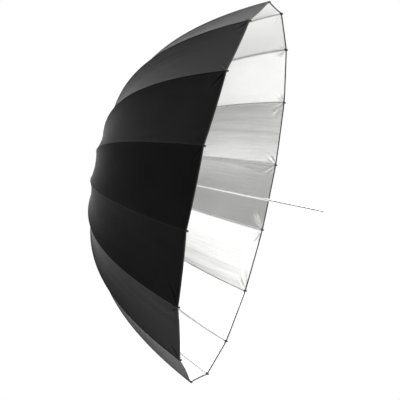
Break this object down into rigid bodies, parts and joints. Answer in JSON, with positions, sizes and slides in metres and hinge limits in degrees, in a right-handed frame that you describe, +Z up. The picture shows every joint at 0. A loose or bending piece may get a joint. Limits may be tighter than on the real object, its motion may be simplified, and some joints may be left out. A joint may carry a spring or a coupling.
{
  "type": "umbrella reflector",
  "caption": "Deep ribbed studio umbrella, black outside and silver inside, that folds along its shaft and bounces a lamp's light forward.",
  "frame": {"origin": "on the shaft's axis, where a lamp bracket grips it between the rim and the shaft's free end", "axes": "+X along the shaft from the crown to the free end, which is the way the light leaves; +Z up through the middle of a gore; +Y completes the right-handed frame"},
  "size_m": [0.7825, 1.2762, 1.2762],
  "materials": {
    "shaft_steel": "polished",
    "wire_steel": "satin",
    "rib_rod": "satin",
    "black_plastic": "satin",
    "grey_plastic": "satin",
    "canopy_cloth": "matte"
  },
  "bodies": {
    "frame": {"shaft": "shaft_steel", "shaft_end_cap": "grey_plastic", "crown": "black_plastic", "crown_pin": "wire_steel", "crown_wire": "wire_steel", "canopy_washer": "black_plastic", "top_cap": "black_plastic", "runner_stop": "wire_steel"},
    "runner": {"runner": "black_plastic", "runner_wire": "wire_steel"},
    "catch": {"catch": "wire_steel"},
    "rib_01": {"rib_01": "rib_rod"},
    "stretcher_01": {"stretcher_01": "rib_rod"},
    "gore_01": {"gore_01": "canopy_cloth"},
    "rib_02": {"rib_02": "rib_rod"},
    "stretcher_02": {"stretcher_02": "rib_rod"},
    "gore_02": {"gore_02": "canopy_cloth"},
    "rib_03": {"rib_03": "rib_rod"},
    "stretcher_03": {"stretcher_03": "rib_rod"},
    "gore_03": {"gore_03": "canopy_cloth"},
    "rib_04": {"rib_04": "rib_rod"},
    "stretcher_04": {"stretcher_04": "rib_rod"},
    "gore_04": {"gore_04": "canopy_cloth"},
    "rib_05": {"rib_05": "rib_rod"},
    "stretcher_05": {"stretcher_05": "rib_rod"},
    "gore_05": {"gore_05": "canopy_cloth"},
    "rib_06": {"rib_06": "rib_rod"},
    "stretcher_06": {"stretcher_06": "rib_rod"},
    "gore_06": {"gore_06": "canopy_cloth"},
    "rib_07": {"rib_07": "rib_rod"},
    "stretcher_07": {"stretcher_07": "rib_rod"},
    "gore_07": {"gore_07": "canopy_cloth"},
    "rib_08": {"rib_08": "rib_rod"},
    "stretcher_08": {"stretcher_08": "rib_rod"},
    "gore_08": {"gore_08": "canopy_cloth"},
    "rib_09": {"rib_09": "rib_rod"},
    "stretcher_09": {"stretcher_09": "rib_rod"},
    "gore_09": {"gore_09": "canopy_cloth"},
    "rib_10": {"rib_10": "rib_rod"},
    "stretcher_10": {"stretcher_10": "rib_rod"},
    "gore_10": {"gore_10": "canopy_cloth"},
    "rib_11": {"rib_11": "rib_rod"},
    "stretcher_11": {"stretcher_11": "rib_rod"},
    "gore_11": {"gore_11": "canopy_cloth"},
    "rib_12": {"rib_12": "rib_rod"},
    "stretcher_12": {"stretcher_12": "rib_rod"},
    "gore_12": {"gore_12": "canopy_cloth"},
    "rib_13": {"rib_13": "rib_rod"},
    "stretcher_13": {"stretcher_13": "rib_rod"},
    "gore_13": {"gore_13": "canopy_cloth"},
    "rib_14": {"rib_14": "rib_rod"},
    "stretcher_14": {"stretcher_14": "rib_rod"},
    "gore_14": {"gore_14": "canopy_cloth"},
    "rib_15": {"rib_15": "rib_rod"},
    "stretcher_15": {"stretcher_15": "rib_rod"},
    "gore_15": {"gore_15": "canopy_cloth"},
    "rib_16": {"rib_16": "rib_rod"},
    "stretcher_16": {"stretcher_16": "rib_rod"},
    "gore_16": {"gore_16": "canopy_cloth"}
  },
  "joints": [
    {"name": "runner_slide", "type": "slide", "parent": "frame", "child": "runner", "axis": [1, 0, 0], "range_m": [0, 0.2475]},
    {"name": "catch_press", "type": "slide", "parent": "frame", "child": "catch", "axis": [0, 0, -1], "range_m": [0, 0.0022], "stiffness_N_per_m": 400, "deforming": ["catch"]},
    {"name": "rib_01_fold", "type": "hinge", "parent": "frame", "child": "rib_01", "pos_m": [-0.6276, -0.00293, 0.01471], "axis": [0, 0.9808, 0.1951], "range_deg": [0, 52]},
    {"name": "stretcher_01_swing", "type": "hinge", "parent": "runner", "child": "stretcher_01", "pos_m": [-0.4576, -0.00293, 0.01471], "axis": [0, -0.9808, -0.1951], "range_deg": [0, 31.89]},
    {"name": "gore_01_fold", "type": "hinge", "parent": "rib_01", "child": "gore_01", "pos_m": [-0.75597, 0, 0.28364], "axis": [0.4315, 0, -0.9021], "range_deg": [0, 19.62], "deforming": ["gore_01"]},
    {"name": "rib_02_fold", "type": "hinge", "parent": "frame", "child": "rib_02", "pos_m": [-0.6276, 0.00293, 0.01471], "axis": [0, 0.9808, -0.1951], "range_deg": [0, 52]},
    {"name": "stretcher_02_swing", "type": "hinge", "parent": "runner", "child": "stretcher_02", "pos_m": [-0.4576, 0.00293, 0.01471], "axis": [0, -0.9808, 0.1951], "range_deg": [0, 31.89]},
    {"name": "gore_02_fold", "type": "hinge", "parent": "rib_02", "child": "gore_02", "pos_m": [-0.75597, 0.10854, 0.26205], "axis": [0.4315, -0.3452, -0.8334], "range_deg": [0, 19.62], "deforming": ["gore_02"]},
    {"name": "rib_03_fold", "type": "hinge", "parent": "frame", "child": "rib_03", "pos_m": [-0.6276, 0.00833, 0.01247], "axis": [0, 0.8315, -0.5556], "range_deg": [0, 52]},
    {"name": "stretcher_03_swing", "type": "hinge", "parent": "runner", "child": "stretcher_03", "pos_m": [-0.4576, 0.00833, 0.01247], "axis": [0, -0.8315, 0.5556], "range_deg": [0, 31.89]},
    {"name": "gore_03_fold", "type": "hinge", "parent": "rib_03", "child": "gore_03", "pos_m": [-0.75597, 0.20056, 0.20056], "axis": [0.4315, -0.6379, -0.6379], "range_deg": [0, 19.62], "deforming": ["gore_03"]},
    {"name": "rib_04_fold", "type": "hinge", "parent": "frame", "child": "rib_04", "pos_m": [-0.6276, 0.01247, 0.00833], "axis": [0, 0.5556, -0.8315], "range_deg": [0, 52]},
    {"name": "stretcher_04_swing", "type": "hinge", "parent": "runner", "child": "stretcher_04", "pos_m": [-0.4576, 0.01247, 0.00833], "axis": [0, -0.5556, 0.8315], "range_deg": [0, 31.89]},
    {"name": "gore_04_fold", "type": "hinge", "parent": "rib_04", "child": "gore_04", "pos_m": [-0.75597, 0.26205, 0.10854], "axis": [0.4315, -0.8334, -0.3452], "range_deg": [0, 19.62], "deforming": ["gore_04"]},
    {"name": "rib_05_fold", "type": "hinge", "parent": "frame", "child": "rib_05", "pos_m": [-0.6276, 0.01471, 0.00293], "axis": [0, 0.1951, -0.9808], "range_deg": [0, 52]},
    {"name": "stretcher_05_swing", "type": "hinge", "parent": "runner", "child": "stretcher_05", "pos_m": [-0.4576, 0.01471, 0.00293], "axis": [0, -0.1951, 0.9808], "range_deg": [0, 31.89]},
    {"name": "gore_05_fold", "type": "hinge", "parent": "rib_05", "child": "gore_05", "pos_m": [-0.75597, 0.28364, 0], "axis": [0.4315, -0.9021, 0], "range_deg": [0, 19.62], "deforming": ["gore_05"]},
    {"name": "rib_06_fold", "type": "hinge", "parent": "frame", "child": "rib_06", "pos_m": [-0.6276, 0.01471, -0.00293], "axis": [0, -0.1951, -0.9808], "range_deg": [0, 52]},
    {"name": "stretcher_06_swing", "type": "hinge", "parent": "runner", "child": "stretcher_06", "pos_m": [-0.4576, 0.01471, -0.00293], "axis": [0, 0.1951, 0.9808], "range_deg": [0, 31.89]},
    {"name": "gore_06_fold", "type": "hinge", "parent": "rib_06", "child": "gore_06", "pos_m": [-0.75597, 0.26205, -0.10854], "axis": [0.4315, -0.8334, 0.3452], "range_deg": [0, 19.62], "deforming": ["gore_06"]},
    {"name": "rib_07_fold", "type": "hinge", "parent": "frame", "child": "rib_07", "pos_m": [-0.6276, 0.01247, -0.00833], "axis": [0, -0.5556, -0.8315], "range_deg": [0, 52]},
    {"name": "stretcher_07_swing", "type": "hinge", "parent": "runner", "child": "stretcher_07", "pos_m": [-0.4576, 0.01247, -0.00833], "axis": [0, 0.5556, 0.8315], "range_deg": [0, 31.89]},
    {"name": "gore_07_fold", "type": "hinge", "parent": "rib_07", "child": "gore_07", "pos_m": [-0.75597, 0.20056, -0.20056], "axis": [0.4315, -0.6379, 0.6379], "range_deg": [0, 19.62], "deforming": ["gore_07"]},
    {"name": "rib_08_fold", "type": "hinge", "parent": "frame", "child": "rib_08", "pos_m": [-0.6276, 0.00833, -0.01247], "axis": [0, -0.8315, -0.5556], "range_deg": [0, 52]},
    {"name": "stretcher_08_swing", "type": "hinge", "parent": "runner", "child": "stretcher_08", "pos_m": [-0.4576, 0.00833, -0.01247], "axis": [0, 0.8315, 0.5556], "range_deg": [0, 31.89]},
    {"name": "gore_08_fold", "type": "hinge", "parent": "rib_08", "child": "gore_08", "pos_m": [-0.75597, 0.10854, -0.26205], "axis": [0.4315, -0.3452, 0.8334], "range_deg": [0, 19.62], "deforming": ["gore_08"]},
    {"name": "rib_09_fold", "type": "hinge", "parent": "frame", "child": "rib_09", "pos_m": [-0.6276, 0.00293, -0.01471], "axis": [0, -0.9808, -0.1951], "range_deg": [0, 52]},
    {"name": "stretcher_09_swing", "type": "hinge", "parent": "runner", "child": "stretcher_09", "pos_m": [-0.4576, 0.00293, -0.01471], "axis": [0, 0.9808, 0.1951], "range_deg": [0, 31.89]},
    {"name": "gore_09_fold", "type": "hinge", "parent": "rib_09", "child": "gore_09", "pos_m": [-0.75597, 0, -0.28364], "axis": [0.4315, 0, 0.9021], "range_deg": [0, 19.62], "deforming": ["gore_09"]},
    {"name": "rib_10_fold", "type": "hinge", "parent": "frame", "child": "rib_10", "pos_m": [-0.6276, -0.00293, -0.01471], "axis": [0, -0.9808, 0.1951], "range_deg": [0, 52]},
    {"name": "stretcher_10_swing", "type": "hinge", "parent": "runner", "child": "stretcher_10", "pos_m": [-0.4576, -0.00293, -0.01471], "axis": [0, 0.9808, -0.1951], "range_deg": [0, 31.89]},
    {"name": "gore_10_fold", "type": "hinge", "parent": "rib_10", "child": "gore_10", "pos_m": [-0.75597, -0.10854, -0.26205], "axis": [0.4315, 0.3452, 0.8334], "range_deg": [0, 19.62], "deforming": ["gore_10"]},
    {"name": "rib_11_fold", "type": "hinge", "parent": "frame", "child": "rib_11", "pos_m": [-0.6276, -0.00833, -0.01247], "axis": [0, -0.8315, 0.5556], "range_deg": [0, 52]},
    {"name": "stretcher_11_swing", "type": "hinge", "parent": "runner", "child": "stretcher_11", "pos_m": [-0.4576, -0.00833, -0.01247], "axis": [0, 0.8315, -0.5556], "range_deg": [0, 31.89]},
    {"name": "gore_11_fold", "type": "hinge", "parent": "rib_11", "child": "gore_11", "pos_m": [-0.75597, -0.20056, -0.20056], "axis": [0.4315, 0.6379, 0.6379], "range_deg": [0, 19.62], "deforming": ["gore_11"]},
    {"name": "rib_12_fold", "type": "hinge", "parent": "frame", "child": "rib_12", "pos_m": [-0.6276, -0.01247, -0.00833], "axis": [0, -0.5556, 0.8315], "range_deg": [0, 52]},
    {"name": "stretcher_12_swing", "type": "hinge", "parent": "runner", "child": "stretcher_12", "pos_m": [-0.4576, -0.01247, -0.00833], "axis": [0, 0.5556, -0.8315], "range_deg": [0, 31.89]},
    {"name": "gore_12_fold", "type": "hinge", "parent": "rib_12", "child": "gore_12", "pos_m": [-0.75597, -0.26205, -0.10854], "axis": [0.4315, 0.8334, 0.3452], "range_deg": [0, 19.62], "deforming": ["gore_12"]},
    {"name": "rib_13_fold", "type": "hinge", "parent": "frame", "child": "rib_13", "pos_m": [-0.6276, -0.01471, -0.00293], "axis": [0, -0.1951, 0.9808], "range_deg": [0, 52]},
    {"name": "stretcher_13_swing", "type": "hinge", "parent": "runner", "child": "stretcher_13", "pos_m": [-0.4576, -0.01471, -0.00293], "axis": [0, 0.1951, -0.9808], "range_deg": [0, 31.89]},
    {"name": "gore_13_fold", "type": "hinge", "parent": "rib_13", "child": "gore_13", "pos_m": [-0.75597, -0.28364, 0], "axis": [0.4315, 0.9021, 0], "range_deg": [0, 19.62], "deforming": ["gore_13"]},
    {"name": "rib_14_fold", "type": "hinge", "parent": "frame", "child": "rib_14", "pos_m": [-0.6276, -0.01471, 0.00293], "axis": [0, 0.1951, 0.9808], "range_deg": [0, 52]},
    {"name": "stretcher_14_swing", "type": "hinge", "parent": "runner", "child": "stretcher_14", "pos_m": [-0.4576, -0.01471, 0.00293], "axis": [0, -0.1951, -0.9808], "range_deg": [0, 31.89]},
    {"name": "gore_14_fold", "type": "hinge", "parent": "rib_14", "child": "gore_14", "pos_m": [-0.75597, -0.26205, 0.10854], "axis": [0.4315, 0.8334, -0.3452], "range_deg": [0, 19.62], "deforming": ["gore_14"]},
    {"name": "rib_15_fold", "type": "hinge", "parent": "frame", "child": "rib_15", "pos_m": [-0.6276, -0.01247, 0.00833], "axis": [0, 0.5556, 0.8315], "range_deg": [0, 52]},
    {"name": "stretcher_15_swing", "type": "hinge", "parent": "runner", "child": "stretcher_15", "pos_m": [-0.4576, -0.01247, 0.00833], "axis": [0, -0.5556, -0.8315], "range_deg": [0, 31.89]},
    {"name": "gore_15_fold", "type": "hinge", "parent": "rib_15", "child": "gore_15", "pos_m": [-0.75597, -0.20056, 0.20056], "axis": [0.4315, 0.6379, -0.6379], "range_deg": [0, 19.62], "deforming": ["gore_15"]},
    {"name": "rib_16_fold", "type": "hinge", "parent": "frame", "child": "rib_16", "pos_m": [-0.6276, -0.00833, 0.01247], "axis": [0, 0.8315, 0.5556], "range_deg": [0, 52]},
    {"name": "stretcher_16_swing", "type": "hinge", "parent": "runner", "child": "stretcher_16", "pos_m": [-0.4576, -0.00833, 0.01247], "axis": [0, -0.8315, -0.5556], "range_deg": [0, 31.89]},
    {"name": "gore_16_fold", "type": "hinge", "parent": "rib_16", "child": "gore_16", "pos_m": [-0.75597, -0.10854, 0.26205], "axis": [0.4315, 0.3452, -0.8334], "range_deg": [0, 19.62], "deforming": ["gore_16"]}
  ],
  "couplings": [
    {"joint": "rib_01_fold", "follows": "runner_slide", "rad_per_m": 3.6669},
    {"joint": "stretcher_01_swing", "follows": "runner_slide", "rad_per_m": 2.2492},
    {"joint": "gore_01_fold", "follows": "runner_slide", "rad_per_m": 1.3839},
    {"joint": "rib_02_fold", "follows": "runner_slide", "rad_per_m": 3.6669},
    {"joint": "stretcher_02_swing", "follows": "runner_slide", "rad_per_m": 2.2492},
    {"joint": "gore_02_fold", "follows": "runner_slide", "rad_per_m": 1.3839},
    {"joint": "rib_03_fold", "follows": "runner_slide", "rad_per_m": 3.6669},
    {"joint": "stretcher_03_swing", "follows": "runner_slide", "rad_per_m": 2.2492},
    {"joint": "gore_03_fold", "follows": "runner_slide", "rad_per_m": 1.3839},
    {"joint": "rib_04_fold", "follows": "runner_slide", "rad_per_m": 3.6669},
    {"joint": "stretcher_04_swing", "follows": "runner_slide", "rad_per_m": 2.2492},
    {"joint": "gore_04_fold", "follows": "runner_slide", "rad_per_m": 1.3839},
    {"joint": "rib_05_fold", "follows": "runner_slide", "rad_per_m": 3.6669},
    {"joint": "stretcher_05_swing", "follows": "runner_slide", "rad_per_m": 2.2492},
    {"joint": "gore_05_fold", "follows": "runner_slide", "rad_per_m": 1.3839},
    {"joint": "rib_06_fold", "follows": "runner_slide", "rad_per_m": 3.6669},
    {"joint": "stretcher_06_swing", "follows": "runner_slide", "rad_per_m": 2.2492},
    {"joint": "gore_06_fold", "follows": "runner_slide", "rad_per_m": 1.3839},
    {"joint": "rib_07_fold", "follows": "runner_slide", "rad_per_m": 3.6669},
    {"joint": "stretcher_07_swing", "follows": "runner_slide", "rad_per_m": 2.2492},
    {"joint": "gore_07_fold", "follows": "runner_slide", "rad_per_m": 1.3839},
    {"joint": "rib_08_fold", "follows": "runner_slide", "rad_per_m": 3.6669},
    {"joint": "stretcher_08_swing", "follows": "runner_slide", "rad_per_m": 2.2492},
    {"joint": "gore_08_fold", "follows": "runner_slide", "rad_per_m": 1.3839},
    {"joint": "rib_09_fold", "follows": "runner_slide", "rad_per_m": 3.6669},
    {"joint": "stretcher_09_swing", "follows": "runner_slide", "rad_per_m": 2.2492},
    {"joint": "gore_09_fold", "follows": "runner_slide", "rad_per_m": 1.3839},
    {"joint": "rib_10_fold", "follows": "runner_slide", "rad_per_m": 3.6669},
    {"joint": "stretcher_10_swing", "follows": "runner_slide", "rad_per_m": 2.2492},
    {"joint": "gore_10_fold", "follows": "runner_slide", "rad_per_m": 1.3839},
    {"joint": "rib_11_fold", "follows": "runner_slide", "rad_per_m": 3.6669},
    {"joint": "stretcher_11_swing", "follows": "runner_slide", "rad_per_m": 2.2492},
    {"joint": "gore_11_fold", "follows": "runner_slide", "rad_per_m": 1.3839},
    {"joint": "rib_12_fold", "follows": "runner_slide", "rad_per_m": 3.6669},
    {"joint": "stretcher_12_swing", "follows": "runner_slide", "rad_per_m": 2.2492},
    {"joint": "gore_12_fold", "follows": "runner_slide", "rad_per_m": 1.3839},
    {"joint": "rib_13_fold", "follows": "runner_slide", "rad_per_m": 3.6669},
    {"joint": "stretcher_13_swing", "follows": "runner_slide", "rad_per_m": 2.2492},
    {"joint": "gore_13_fold", "follows": "runner_slide", "rad_per_m": 1.3839},
    {"joint": "rib_14_fold", "follows": "runner_slide", "rad_per_m": 3.6669},
    {"joint": "stretcher_14_swing", "follows": "runner_slide", "rad_per_m": 2.2492},
    {"joint": "gore_14_fold", "follows": "runner_slide", "rad_per_m": 1.3839},
    {"joint": "rib_15_fold", "follows": "runner_slide", "rad_per_m": 3.6669},
    {"joint": "stretcher_15_swing", "follows": "runner_slide", "rad_per_m": 2.2492},
    {"joint": "gore_15_fold", "follows": "runner_slide", "rad_per_m": 1.3839},
    {"joint": "rib_16_fold", "follows": "runner_slide", "rad_per_m": 3.6669},
    {"joint": "stretcher_16_swing", "follows": "runner_slide", "rad_per_m": 2.2492},
    {"joint": "gore_16_fold", "follows": "runner_slide", "rad_per_m": 1.3839}
  ]
}
